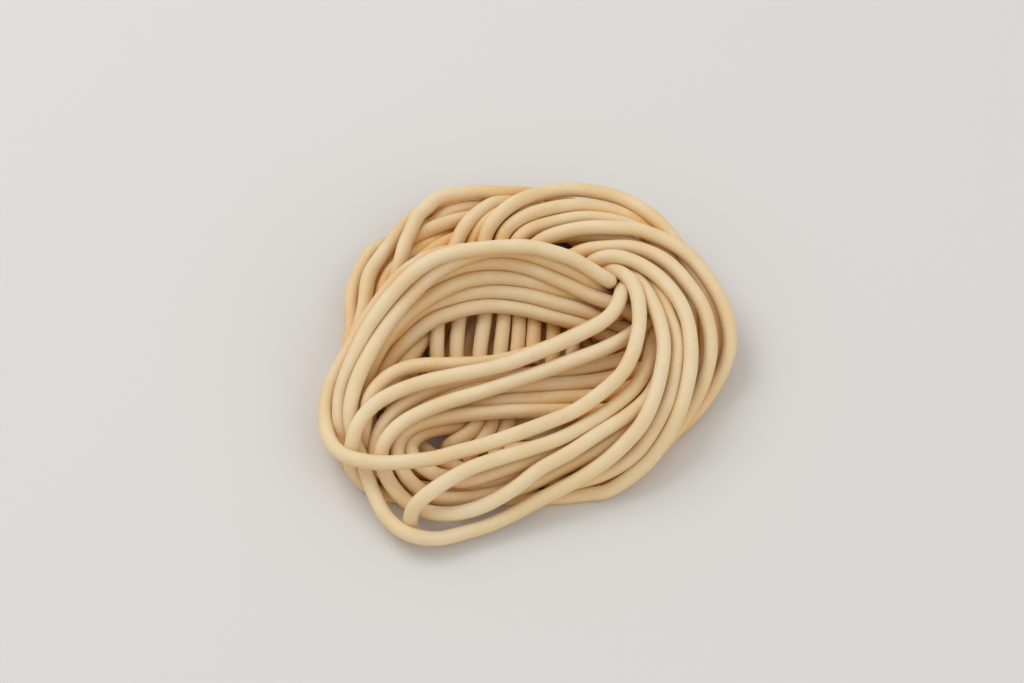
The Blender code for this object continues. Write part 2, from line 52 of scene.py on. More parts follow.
# Strand routes: places (across, up, height) in millimetres, read in the view from 55 degrees above the front.
LONE_ROUTES: dict[str, list[Place]] = {
    "over_loop": [
        (11.6, 19.4, 5.0), (17.0, 18.0, 10.5), (19.6, 16.4, 12.8), (21.4, 13.6, 14.3), (21.9, 9.4, 15.0),
        (21.4, 5.4, 15.2), (20.0, 1.0, 15.0), (17.0, -3.2, 14.5), (10.0, -8.6, 13.5), (4.0, -11.2, 13.0),
        (-8.0, -15.2, 12.6), (-15.0, -16.8, 12.5), (-23.0, -18.4, 12.2), (-30.0, -19.0, 11.2),
        (-35.6, -17.8, 9.5), (-39.0, -15.2, 8.0), (-40.6, -11.0, 7.2), (-40.4, -7.0, 7.4), (-39.0, -2.4, 9.0),
        (-36.2, 2.8, 11.5), (-33.0, 8.6, 13.6), (-29.0, 14.4, 15.2), (-24.4, 19.0, 16.0), (-19.0, 21.8, 16.2),
        (-12.0, 23.0, 15.4), (-2.0, 22.8, 14.6), (7.0, 20.2, 12.6), (13.4, 16.6, 8.0),
    ],
    "arch_loop": [
        (16.4, 13.2, 8.0), (12.0, 16.4, 13.8), (8.6, 18.4, 15.8), (1.0, 21.6, 17.6), (-5.0, 22.8, 18.2),
        (-11.0, 22.0, 18.3), (-18.6, 18.4, 17.6), (-25.0, 12.4, 16.2), (-29.6, 6.6, 14.6), (-33.6, -0.8, 12.6),
        (-35.6, -8.0, 10.4), (-34.8, -15.0, 7.2), (-33.2, -20.0, 5.8), (-31.2, -25.4, 4.6), (-28.6, -30.0, 4.2),
        (-24.4, -33.2, 4.4), (-19.0, -34.2, 3.6), (-12.4, -32.7, 3.2), (-5.0, -30.2, 3.6), (1.2, -27.0, 4.6),
        (9.4, -22.8, 6.4), (15.2, -19.0, 8.4), (19.6, -15.0, 10.2), (22.8, -11.0, 11.8), (25.2, -5.0, 13.2),
        (26.6, 3.0, 14.2), (25.8, 9.0, 14.5), (24.0, 13.2, 14.0), (21.6, 16.4, 12.6), (17.4, 18.6, 10.0),
        (13.2, 19.0, 6.4),
    ],
    "tip_arch": [
        (-14.0, -22.4, 1.7), (-22.0, -21.4, 1.7), (-28.0, -20.2, 1.7), (-32.6, -18.2, 2.4), (-36.2, -15.0, 4.6),
        (-37.6, -12.0, 6.4),
        (-37.8, -7.0, 8.4), (-36.8, -2.6, 10.2), (-35.0, 1.8, 12.2), (-32.6, 6.6, 14.4), (-29.8, 11.0, 16.6),
        (-26.8, 14.8, 18.2), (-23.6, 18.0, 19.4), (-20.0, 20.6, 20.0), (-16.0, 22.4, 20.4), (-11.0, 23.6, 20.5),
        (-5.0, 23.9, 20.5), (0.0, 23.6, 20.2), (4.0, 22.6, 19.6), (7.6, 21.4, 18.7), (11.0, 19.6, 17.4),
        (14.0, 17.8, 16.0), (15.5, 17.0, 14.8), (15.9, 16.8, 12.4), (15.9, 16.8, 8.0),
    ],
    "diagonal": [
        (18.8, 16.2, 6.0), (18.8, 16.0, 11.0), (18.6, 14.6, 13.8), (17.2, 11.2, 15.0), (14.6, 8.6, 15.4),
        (10.6, 6.4, 15.3), (5.8, 4.2, 15.0), (0.0, 1.9, 14.5), (-6.0, -0.2, 14.0), (-16.0, -2.2, 13.4),
        (-21.0, -3.2, 13.0), (-26.0, -4.8, 12.4), (-30.0, -6.8, 11.8), (-33.0, -9.6, 11.0), (-34.6, -12.8, 10.0),
        (-35.0, -16.4, 8.2), (-34.8, -19.2, 5.4), (-33.6, -21.8, 3.4), (-31.2, -24.0, 2.3), (-28.0, -25.6, 1.7),
        (-22.0, -27.0, 1.7),
    ],
    "under_diagonal": [
        (-32.6, -17.8, 3.4), (-34.4, -14.0, 6.4), (-33.6, -10.0, 8.8), (-32.4, -6.6, 10.4), (-30.4, -4.0, 11.2),
        (-28.0, -2.0, 11.6), (-25.0, -0.6, 11.8), (-21.0, 0.1, 11.8), (-14.0, 0.2, 11.6), (-6.0, 0.8, 11.2),
        (2.0, 3.0, 10.6), (10.0, 6.5, 9.5), (17.0, 10.0, 8.0), (22.0, 12.0, 6.0),
    ],
    "second_diagonal": [
        (24.4, 9.4, 8.6), (22.0, 7.8, 10.0), (18.4, 5.2, 12.0), (14.0, 3.0, 12.7), (8.0, 0.8, 12.7),
        (2.0, -1.4, 12.3), (-4.0, -3.4, 12.0), (-10.0, -5.4, 11.6), (-16.0, -7.2, 11.2), (-21.0, -9.2, 10.6),
        (-25.0, -11.4, 10.0), (-28.2, -14.2, 9.0), (-30.0, -17.4, 7.6), (-29.6, -21.0, 6.0), (-27.8, -24.6, 4.8),
        (-25.2, -27.4, 4.2), (-21.6, -29.2, 4.4), (-17.0, -29.8, 5.0), (-12.6, -29.2, 5.6), (-8.0, -27.4, 6.4),
        (-3.0, -24.4, 7.7), (2.0, -20.6, 9.2), (8.0, -17.4, 9.9), (14.0, -13.4, 10.3), (20.0, -9.6, 10.3),
        (24.0, -5.6, 9.8), (26.0, 0.0, 9.2), (27.0, 6.0, 8.0),
    ],
    "hook": [
        (-24.4, -33.0, 1.6), (-24.2, -31.4, 4.2), (-23.8, -29.2, 7.4), (-22.6, -27.4, 9.4), (-19.4, -24.8, 10.8),
        (-16.0, -22.6, 11.4), (-11.8, -20.4, 11.6), (-6.0, -18.4, 11.5), (0.0, -16.6, 11.3), (6.0, -14.6, 11.1),
        (12.0, -11.6, 11.0), (17.0, -8.4, 10.7), (21.6, -4.4, 10.2), (24.4, 0.4, 9.4), (25.4, 6.0, 8.6),
    ],
    "low_turn": [
        (25.0, -3.0, 6.0), (20.0, -7.4, 6.6), (14.0, -8.8, 7.0), (4.0, -9.0, 7.4), (-6.0, -9.2, 7.6),
        (-16.0, -10.4, 7.4), (-23.0, -12.6, 7.0), (-26.2, -16.4, 6.0), (-25.4, -21.4, 4.8), (-21.2, -25.6, 4.0),
        (-15.0, -26.8, 3.6), (-4.0, -25.2, 4.6), (6.0, -20.8, 6.2), (15.0, -16.0, 7.5), (22.0, -9.4, 8.0),
        (25.6, -1.0, 8.0),
    ],
    "inner_turn": [
        (22.0, -6.0, 2.4), (15.0, -9.4, 2.4), (8.0, -10.6, 2.4), (0.0, -11.0, 2.6), (-8.0, -11.8, 3.2),
        (-14.0, -12.6, 4.0), (-19.6, -13.2, 5.0), (-23.4, -14.8, 5.4), (-24.4, -17.4, 5.4), (-21.4, -20.6, 6.0),
        (-14.0, -23.0, 6.8), (-6.0, -21.2, 7.6), (3.0, -18.0, 8.0), (12.0, -13.6, 8.2), (20.0, -7.6, 8.0),
        (24.0, -1.0, 7.4),
    ],
    "top_left_arch": [
        (22.6, 16.6, 2.4), (16.0, 26.2, 3.8), (6.0, 31.4, 5.8), (0.0, 33.2, 7.6), (-6.0, 33.8, 8.8),
        (-10.4, 34.2, 9.2), (-17.6, 33.2, 9.8), (-20.6, 31.0, 10.2), (-22.4, 29.2, 10.4), (-23.8, 26.2, 10.4),
        (-25.0, 23.4, 10.2), (-25.8, 20.4, 9.6), (-26.8, 17.0, 8.6), (-27.8, 8.0, 5.5), (-26.4, -1.0, 3.0),
        (-24.2, -12.6, 2.0), (-19.6, -18.2, 2.0), (-12.0, -21.8, 1.8),
    ],
    "left_outer": [
        (19.6, 13.0, 1.8), (15.4, 23.0, 2.2), (7.0, 28.6, 3.2), (-4.0, 30.8, 4.2), (-15.0, 31.2, 5.2),
        (-20.4, 30.4, 6.4), (-23.6, 28.8, 7.4), (-27.2, 24.8, 8.4), (-31.0, 19.8, 9.0), (-32.3, 16.8, 9.1),
        (-33.0, 11.0, 9.0), (-34.4, 6.0, 8.4), (-36.0, 0.0, 6.2), (-37.4, -7.0, 4.8), (-37.0, -13.0, 3.6),
        (-34.8, -17.4, 2.6), (-31.2, -20.8, 1.8), (-27.0, -22.8, 1.7), (-19.0, -24.4, 1.7), (-10.0, -24.6, 1.7),
        (0.0, -22.6, 1.7), (8.0, -18.4, 1.7),
    ],
    "left_low": [
        (6.0, 25.5, 1.7), (-7.0, 27.6, 2.0), (-18.0, 27.2, 3.0), (-25.0, 25.4, 4.2), (-31.0, 22.8, 5.4),
        (-33.4, 19.6, 6.0), (-34.9, 16.0, 6.4), (-35.6, 12.0, 6.6), (-35.4, 7.4, 6.0), (-36.8, 0.0, 4.2),
        (-38.6, -8.0, 3.0), (-37.0, -13.0, 2.1), (-33.6, -16.0, 1.7), (-28.6, -18.4, 1.7), (-22.0, -19.4, 1.7),
    ],
    "slanting": [
        (-13.6, 15.0, 6.6), (-18.0, 8.6, 6.2), (-21.6, 4.4, 5.8), (-25.0, 0.0, 5.2), (-27.6, -4.0, 4.4),
        (-29.2, -9.4, 3.0),
    ],
    "under_fan": [
        (-4.0, 20.0, 5.5), (-1.0, 23.6, 6.6), (5.0, 25.6, 7.4), (12.0, 25.6, 8.2), (19.4, 24.7, 8.7),
        (25.4, 21.6, 8.7), (29.6, 15.4, 8.0), (31.6, 9.0, 6.4), (31.0, 3.0, 4.4), (28.0, -3.0, 2.6),
    ],
    "eye_turn": [
        (8.0, -24.0, 1.8), (14.0, -22.2, 2.8), (19.6, -19.0, 5.0), (23.4, -14.6, 7.4), (27.4, -7.0, 10.0),
        (29.0, 0.4, 11.6), (29.2, 5.4, 12.0), (28.0, 9.6, 12.0), (26.6, 13.4, 11.6), (23.4, 17.0, 10.4),
        (18.4, 19.0, 8.0), (13.2, 19.0, 5.0),
    ],
}

# Each sheaf is a band of strands side by side between two routes, one strand at each share of the way across.
SHEAVES: dict[str, tuple[tuple[float, ...], list[Place], list[Place]]] = {
    "fan": ((0.0, 0.5, 1.0), [
        (-5.0, -26.4, 1.6), (4.0, -26.0, 1.8), (11.0, -25.2, 2.0), (14.8, -24.9, 2.2), (18.4, -23.0, 2.9),
        (23.4, -19.0, 4.5), (26.6, -15.0, 6.4), (29.0, -11.0, 8.4), (30.8, -6.0, 10.4), (32.0, 0.4, 12.2),
        (31.8, 7.0, 13.2), (30.4, 11.8, 13.6), (27.6, 15.8, 13.6), (24.6, 18.6, 13.3), (21.2, 20.4, 12.9),
        (17.6, 21.1, 12.3), (14.0, 20.2, 11.0), (11.6, 18.2, 8.6), (9.6, 13.5, 6.0), (9.0, 8.0, 5.0),
        (8.6, 0.0, 4.2),
    ], [
        (2.0, -21.0, 1.6), (8.0, -21.2, 1.6), (14.0, -20.6, 1.6), (20.0, -18.6, 1.6), (25.0, -16.0, 1.7),
        (29.6, -12.4, 1.9), (33.6, -8.2, 2.5), (36.4, -4.0, 3.6), (38.6, 0.0, 5.2), (39.8, 4.6, 7.0),
        (39.4, 8.6, 8.2), (38.0, 12.6, 9.2), (35.8, 16.4, 10.2), (32.6, 20.6, 11.0), (29.2, 23.4, 11.6),
        (25.0, 25.6, 12.0), (20.0, 27.0, 12.2), (8.6, 26.8, 12.2), (0.0, 22.5, 10.6), (0.8, 11.0, 6.2),
        (0.2, 0.0, 4.8),
    ]),
    "back": ((0.0, 0.55, 1.0), [
        (10.0, -18.0, 1.7), (20.0, -15.6, 1.7), (29.0, -10.4, 1.9), (34.4, -5.4, 2.8), (37.4, 1.0, 4.6),
        (37.2, 6.0, 5.8), (36.4, 11.0, 6.8), (34.4, 15.6, 7.8), (31.0, 21.0, 8.8), (26.8, 26.4, 9.3),
        (21.6, 30.8, 9.6), (16.4, 33.4, 9.7), (8.0, 34.7, 9.9), (0.0, 33.2, 10.2), (-6.0, 29.8, 10.6),
        (-9.0, 25.0, 10.2), (-8.8, 18.0, 8.4), (-8.8, 11.0, 6.6), (-10.0, 2.0, 5.8), (-9.8, -7.6, 5.4),
        (-12.0, -12.8, 5.0), (-16.0, -15.4, 4.4), (-17.0, -16.2, 1.7),
    ], [
        (6.0, -16.0, 1.7), (16.0, -13.0, 1.7), (25.0, -8.0, 1.8), (30.0, -3.0, 2.2), (32.6, 2.0, 3.0),
        (33.2, 6.0, 4.0), (32.8, 10.0, 5.2), (31.6, 14.6, 6.4), (29.4, 19.4, 7.8), (26.6, 23.0, 8.8),
        (23.0, 26.4, 9.4), (18.4, 28.3, 9.8), (10.6, 29.3, 10.0), (2.4, 27.8, 10.0), (-1.6, 25.6, 9.8),
        (-2.8, 22.6, 9.0), (-2.2, 16.0, 7.6), (-2.0, 10.0, 6.2), (-2.6, 2.0, 5.4), (-3.4, -6.0, 5.0),
        (-5.2, -13.0, 4.2), (-7.8, -18.6, 2.8), (-9.4, -22.0, 1.8),
    ]),
    "comb": ((0.0, 1.0), [
        (14.0, 24.0, 4.6), (8.0, 28.6, 6.0), (2.0, 31.4, 7.6), (-5.4, 32.0, 9.2), (-9.0, 30.4, 9.8),
        (-12.9, 26.9, 9.8), (-15.4, 22.0, 8.8), (-17.8, 14.0, 7.0), (-18.6, 5.0, 5.8), (-18.0, -3.0, 5.0),
        (-16.0, -11.0, 3.4), (-12.0, -16.0, 2.2),
    ], [
        (15.0, 22.5, 4.8), (9.4, 27.4, 6.2), (3.6, 30.4, 7.8), (-3.4, 31.4, 9.2), (-7.6, 29.8, 9.6),
        (-10.8, 26.0, 8.8), (-12.4, 21.0, 7.6), (-13.6, 13.4, 6.6), (-14.5, 4.0, 5.6), (-14.0, -4.0, 4.8),
        (-12.0, -12.0, 3.2), (-8.0, -17.0, 2.2),
    ]),
    "arches": ((0.0, 0.3, 0.62, 1.0), [
        (21.6, 8.4, 7.0), (18.0, 10.6, 8.4), (14.0, 12.8, 9.8), (10.4, 14.8, 11.6), (5.4, 16.8, 13.2),
        (0.0, 18.8, 14.4), (-6.0, 19.8, 15.0),
        (-12.0, 19.4, 15.0), (-17.0, 17.6, 14.4), (-22.0, 14.4, 13.2), (-26.0, 10.8, 11.8), (-29.0, 7.0, 10.4),
        (-31.6, 2.6, 9.0), (-33.6, -2.2, 7.4), (-35.2, -7.4, 5.8), (-35.4, -13.0, 4.0),
    ], [
        (22.4, 4.6, 5.0), (19.0, 5.8, 6.0), (15.2, 7.2, 7.0), (10.8, 8.8, 8.0), (5.4, 9.9, 9.0),
        (0.0, 11.2, 9.4), (-6.0, 11.9, 9.6),
        (-11.0, 11.6, 9.6), (-16.0, 10.4, 9.2), (-20.0, 9.0, 8.8), (-24.0, 6.4, 8.0), (-27.4, 3.0, 7.0),
        (-30.4, -1.4, 6.0), (-32.6, -6.6, 5.0), (-34.0, -11.0, 4.0), (-33.6, -16.0, 2.4),
    ]),
    "middle": ((0.0, 0.5, 1.0), [
        (25.0, 3.0, 6.5), (16.0, 0.2, 8.0), (6.0, -1.8, 8.4), (-6.0, -3.4, 8.6), (-16.0, -5.2, 9.0),
        (-23.6, -8.2, 8.6), (-28.8, -12.4, 7.4), (-30.8, -18.0, 5.0), (-29.6, -22.4, 3.0),
    ], [
        (24.6, -3.4, 6.0), (15.0, -6.0, 7.0), (4.0, -6.4, 7.4), (-6.0, -6.8, 7.2), (-14.0, -8.2, 6.6),
        (-20.0, -10.2, 5.6), (-24.4, -13.0, 4.6), (-26.4, -17.4, 3.4), (-25.0, -22.0, 2.0),
    ]),
    "left_inner": ((0.0, 0.5, 1.0), [
        (-8.0, 27.0, 3.5), (-16.4, 28.6, 4.6), (-22.4, 25.8, 6.0), (-26.8, 21.8, 6.8), (-29.6, 16.6, 7.2),
        (-30.8, 10.0, 7.0), (-32.8, 2.0, 6.0), (-35.6, -7.0, 4.6), (-36.0, -15.0, 3.0),
    ], [
        (-2.0, 24.0, 6.0), (-9.6, 26.6, 7.0), (-15.0, 25.2, 8.2), (-20.4, 22.8, 8.8), (-25.0, 19.0, 8.6),
        (-27.2, 12.0, 7.0), (-28.4, 4.0, 4.4), (-28.8, -4.0, 2.8), (-28.0, -13.0, 1.8),
    ]),
    "crescent": ((0.0, 1.0), [
        (15.0, 26.0, 4.6), (7.0, 29.8, 5.0), (-2.0, 31.4, 5.4), (-9.0, 31.6, 6.0), (-15.0, 30.8, 6.8),
        (-19.2, 28.6, 7.0), (-22.0, 25.0, 6.6), (-23.6, 20.0, 5.6), (-24.6, 13.0, 4.4), (-25.4, 6.0, 3.2),
    ], [
        (12.0, 25.0, 6.0), (4.0, 28.6, 6.4), (-4.0, 30.0, 6.6), (-10.4, 29.4, 7.2), (-15.0, 28.2, 7.8),
        (-19.2, 26.4, 8.0), (-22.4, 23.8, 7.8), (-24.8, 19.4, 7.0), (-26.0, 12.6, 5.6), (-26.8, 5.6, 4.0),
    ]),
    "deep_comb": ((0.0, 0.5, 1.0), [
        (-22.0, 13.0, 5.0), (-23.2, 6.0, 3.6), (-24.4, -1.0, 2.6), (-25.2, -9.0, 2.0),
    ], [
        (-26.0, 11.0, 5.0), (-28.4, 4.0, 3.8), (-29.6, -3.0, 2.6), (-29.6, -11.0, 2.0),
    ]),
}

# Where the nest is open right down to the board: (across, up) of the opening in the view, and its radius.
OPENINGS: tuple[Place, ...] = (
    (-19.0, -15.4, 1.3), (-26.4, -28.6, 1.0), (-17.0, -32.2, 0.5), (-13.0, -31.0, 0.5), (-9.0, -29.8, 0.5),
)


class Layer(Enum):
    """Which part of the nest a strand belongs to."""

    CROWN = "crown"
    BED = "bed"


@dataclass(frozen=True)
class Viewpoint:
    """Where the nest is looked at from, in millimetres and degrees."""

    elevation: float = 55.0
    distance: float = 600.0
    centre_height: float = 10.0
    middle: tuple[float, float] = (-0.05, 3.8)
    aside: tuple[float, float] = (-3.6, 4.7)
    frame_width: float = 204.8
    sensor_width: float = 36.0

    @property
    def ray(self) -> np.ndarray:
        """The unit vector from the nest towards the camera."""
        angle = math.radians(self.elevation)
        return np.array([0.0, -math.cos(angle), math.sin(angle)])

    def real_place(self, across: float, up: float, height: float) -> Place:
        """Turns a place read in the view into millimetres in the nest's own frame.

        Args:
            across: Distance to the right of the nest's middle in the view.
            up: Distance above the nest's middle in the view.
            height: Height of the strand's centre line over the board.

        Returns:
            The place across, towards the back and above the board.
        """
        angle = math.radians(self.elevation)
        sine, cosine = math.sin(angle), math.cos(angle)
        rise = height - self.centre_height
        share = up / self.distance
        back = (up - share * rise * sine - rise * cosine) / (sine - share * cosine)
        reach = self.distance + back * cosine - rise * sine
        return (across * reach / self.distance - self.middle[0], back - self.middle[1], height)

    def add_camera(self) -> bpy.types.Object:
        """Adds the camera that looks at the nest from this viewpoint and makes it the scene's own."""
        angle = math.radians(self.elevation)
        target = np.array([-self.middle[0], -self.middle[1], self.centre_height])
        view_up = np.array([0.0, math.sin(angle), math.cos(angle)])
        place = target + self.ray * self.distance + view_up * self.aside[1]
        place[0] += self.aside[0]
        data = bpy.data.cameras.new("camera")
        data.sensor_width = self.sensor_width
        data.lens = self.sensor_width * self.distance / self.frame_width
        data.clip_start = 0.01
        camera = bpy.data.objects.new("camera", data)
        camera.location = place * MM
        camera.rotation_euler = (0.5 * math.pi - angle, 0.0, 0.0)
        bpy.context.scene.collection.objects.link(camera)
        bpy.context.scene.camera = camera
        return camera


class NodeSheet:
    """Adds nodes to a shader tree or a geometry tree and joins them."""

    def __init__(self, tree: bpy.types.NodeTree) -> None:
        """Keeps the tree that the nodes go in."""
        self.tree = tree

    def node(self, kind: str, settings: dict[str, Any] | None = None,
             values: dict[Any, Any] | None = None) -> bpy.types.Node:
        """Adds one node.

        Args:
            kind: The node's type name.
            settings: Properties, which are set first.
            values: The value or link for each input, by name or number.

        Returns:
            The new node.
        """
        made = self.tree.nodes.new(kind)
        for name, setting in (settings or {}).items():
            setattr(made, name, setting)
        for name, value in (values or {}).items():
            self.feed(made.inputs[name], value)
        return made

    def feed(self, socket: bpy.types.NodeSocket, value: Any) -> None:
        """Links a socket to a wrapped or bare output, or sets its value."""
        if isinstance(value, Wire):
            value = value.socket
        if isinstance(value, bpy.types.NodeSocket):
            self.tree.links.new(value, socket)
        else:
            socket.default_value = value

    def wire(self, kind: str, settings: dict[str, Any] | None = None,
             values: dict[Any, Any] | None = None, output: int | str = 0) -> "Wire":
        """Adds one node and returns one of its outputs, ready for arithmetic."""
        return Wire(self, self.node(kind, settings, values).outputs[output])


class Wire:
    """An output socket that can be used in plain arithmetic on numbers."""

    def __init__(self, sheet: NodeSheet, socket: bpy.types.NodeSocket) -> None:
        """Keeps the socket and the sheet that its maths nodes go on."""
        self.sheet = sheet
        self.socket = socket

    def _math(self, operation: str, first: Any, second: Any, clamp: bool = False) -> "Wire":
        """Adds one Math node on two values."""
        settings = {"operation": operation, "use_clamp": clamp}
        return self.sheet.wire("ShaderNodeMath", settings, {0: first, 1: second})

    def __add__(self, other: Any) -> "Wire":
        """This value plus another."""
        return self._math("ADD", self, other)

    __radd__ = __add__

    def __sub__(self, other: Any) -> "Wire":
        """This value less another."""
        return self._math("SUBTRACT", self, other)

    def __rsub__(self, other: Any) -> "Wire":
        """Another value less this one."""
        return self._math("SUBTRACT", other, self)

    def __mul__(self, other: Any) -> "Wire":
        """This value times another."""
        return self._math("MULTIPLY", self, other)

    __rmul__ = __mul__

    def __rtruediv__(self, other: Any) -> "Wire":
        """Another value divided by this one."""
        return self._math("DIVIDE", other, self)

    def clamped(self) -> "Wire":
        """This value held between 0 and 1."""
        return self._math("ADD", self, 0.0, clamp=True)

    def spread(self, low: float, high: float) -> "Wire":
        """A smooth step from 0 at low to 1 at high."""
        values = {"Value": self, "From Min": low, "From Max": high}
        return self.sheet.wire("ShaderNodeMapRange", {"interpolation_type": "SMOOTHSTEP"}, values)

    def tint(self, low: Any, high: Any) -> "Wire":
        """A colour that goes from low to high as this value goes from 0 to 1."""
        values = {"Factor": self, 6: low, 7: high}
        return self.sheet.wire("ShaderNodeMix", {"data_type": "RGBA"}, values, output=2)


@dataclass(frozen=True)
class PastaFinish:
    """Fresh wheat pasta: a dull cream skin with warmer patches, a breath of flour and painted shade, a deep
    orange tint on the flanks and where other strands lie over it.

    The shares say how much each cause adds: to warmth the patches, the strand itself and the specks, to the
    painted shade the flanks and the strands lying over the point, and to flour the specks and the patches.
    """

    name: str = "fresh_pasta"
    cream: tuple[float, float, float, float] = (0.83, 0.665, 0.415, 1.0)
    warm: tuple[float, float, float, float] = (0.80, 0.595, 0.325, 1.0)
    flour: tuple[float, float, float, float] = (0.86, 0.735, 0.53, 1.0)
    # Painted shade: the deep orange put on the sides and undersides of the strands and where other strands lie
    # over them, in place of shaded creases.
    shade_colour: tuple[float, float, float, float] = (0.80, 0.46, 0.145, 1.0)
    warmth_shares: tuple[float, float, float] = (0.42, 0.32, 0.12)
    shade_shares: tuple[float, float] = (0.3, 0.9)
    flour_shares: tuple[float, float] = (0.20, 0.40)
    patch_size: float = 11.0
    speck_size: float = 0.9
    grain_size: float = 0.25
    roughness: tuple[float, float] = (0.46, 0.66)
    grain_roughness: float = 0.1
    sheen: float = 0.35
    grain_depth: float = 0.010
    ripple_depth: float = 0.035
    glow: float = 0.3
    glow_reach: tuple[float, float, float] = (1.8, 1.1, 0.6)

    def build(self) -> bpy.types.Material:
        """Makes the material.

        Returns:
            A material whose pattern lies in the piece's own coordinates.
        """
        material = bpy.data.materials.new(self.name)
        material.use_nodes = True
        sheet = NodeSheet(material.node_tree)
        shader = material.node_tree.nodes["Principled BSDF"]
        place = sheet.wire("ShaderNodeTexCoord", output="Object")
        tone = sheet.wire("ShaderNodeAttribute", {"attribute_name": "tone"}, output="Fac")
        patches = self._noise(sheet, place, self.patch_size, 3.0)
        specks = self._noise(sheet, place, self.speck_size, 2.0)
        grain = self._noise(sheet, place, self.grain_size, 2.0)
        normal = sheet.wire("ShaderNodeNewGeometry", output="Normal")
        upward = sheet.wire("ShaderNodeSeparateXYZ", values={0: normal}, output="Z").spread(0.0, 1.0)

        buried = sheet.wire("ShaderNodeAttribute", {"attribute_name": "buried"}, output="Fac")
        flank = sheet.wire("ShaderNodeSeparateXYZ", values={0: normal}, output="Z").spread(0.35, -0.55)

        by_patch, by_strand, by_speck = self.warmth_shares
        warmth = (patches.spread(0.35, 0.68) * by_patch + tone * by_strand + specks * by_speck).clamped()
        # Painted shade: sides and undersides, and points covered by other strands along the camera's ray, are
        # tinted deep orange as if in shade.
        by_flank, by_cover = self.shade_shares
        painted_shade = (flank * by_flank + buried * by_cover).clamped()
        skin = painted_shade.tint(warmth.tint(self.cream, self.warm), self.shade_colour)
        by_speck, by_patch = self.flour_shares
        floury = specks.spread(0.35, 0.75) * by_speck + patches.spread(0.60, 0.38) * by_patch
        dusting = (upward * floury).clamped()
        colour = dusting.tint(skin, self.flour)
        low, high = self.roughness
        dull = (dusting * (high - low) + low + (grain - 0.5) * self.grain_roughness).clamped()

        height = grain * self.grain_depth + specks * self.ripple_depth
        bump = sheet.node("ShaderNodeBump", values={"Strength": 1.0, "Distance": MM, "Height": height})
        sheet.feed(shader.inputs["Base Color"], colour)
        sheet.feed(shader.inputs["Roughness"], dull)
        sheet.feed(shader.inputs["Normal"], bump.outputs["Normal"])
        shader.inputs["Subsurface Weight"].default_value = self.glow
        shader.inputs["Subsurface Radius"].default_value = self.glow_reach
        shader.inputs["Subsurface Scale"].default_value = MM
        shader.inputs["Specular IOR Level"].default_value = self.sheen
        return material

    @staticmethod
    def _noise(sheet: NodeSheet, place: Wire, size: float, detail: float) -> Wire:
        """Adds a noise whose lumps are about the given size in millimetres."""
        values = {"Vector": place, "Scale": 1.0 / (size * MM), "Detail": detail}
        return sheet.wire("ShaderNodeTexNoise", values=values)


@dataclass
class Strand:
    """One strand: its centre line in millimetres, how firmly it keeps its place and how much other strand covers
    it, which sets its painted shade.
    """

    name: str
    layer: Layer
    points: np.ndarray
    firmness: float
    buried: np.ndarray | None = None


@dataclass(frozen=True)
class Winding:
    """One flat winding of hidden strand: its height, reach out and in, place towards the back and start."""

    height: float
    outer_share: float
    inner_share: float
    set_back: float
    start: float


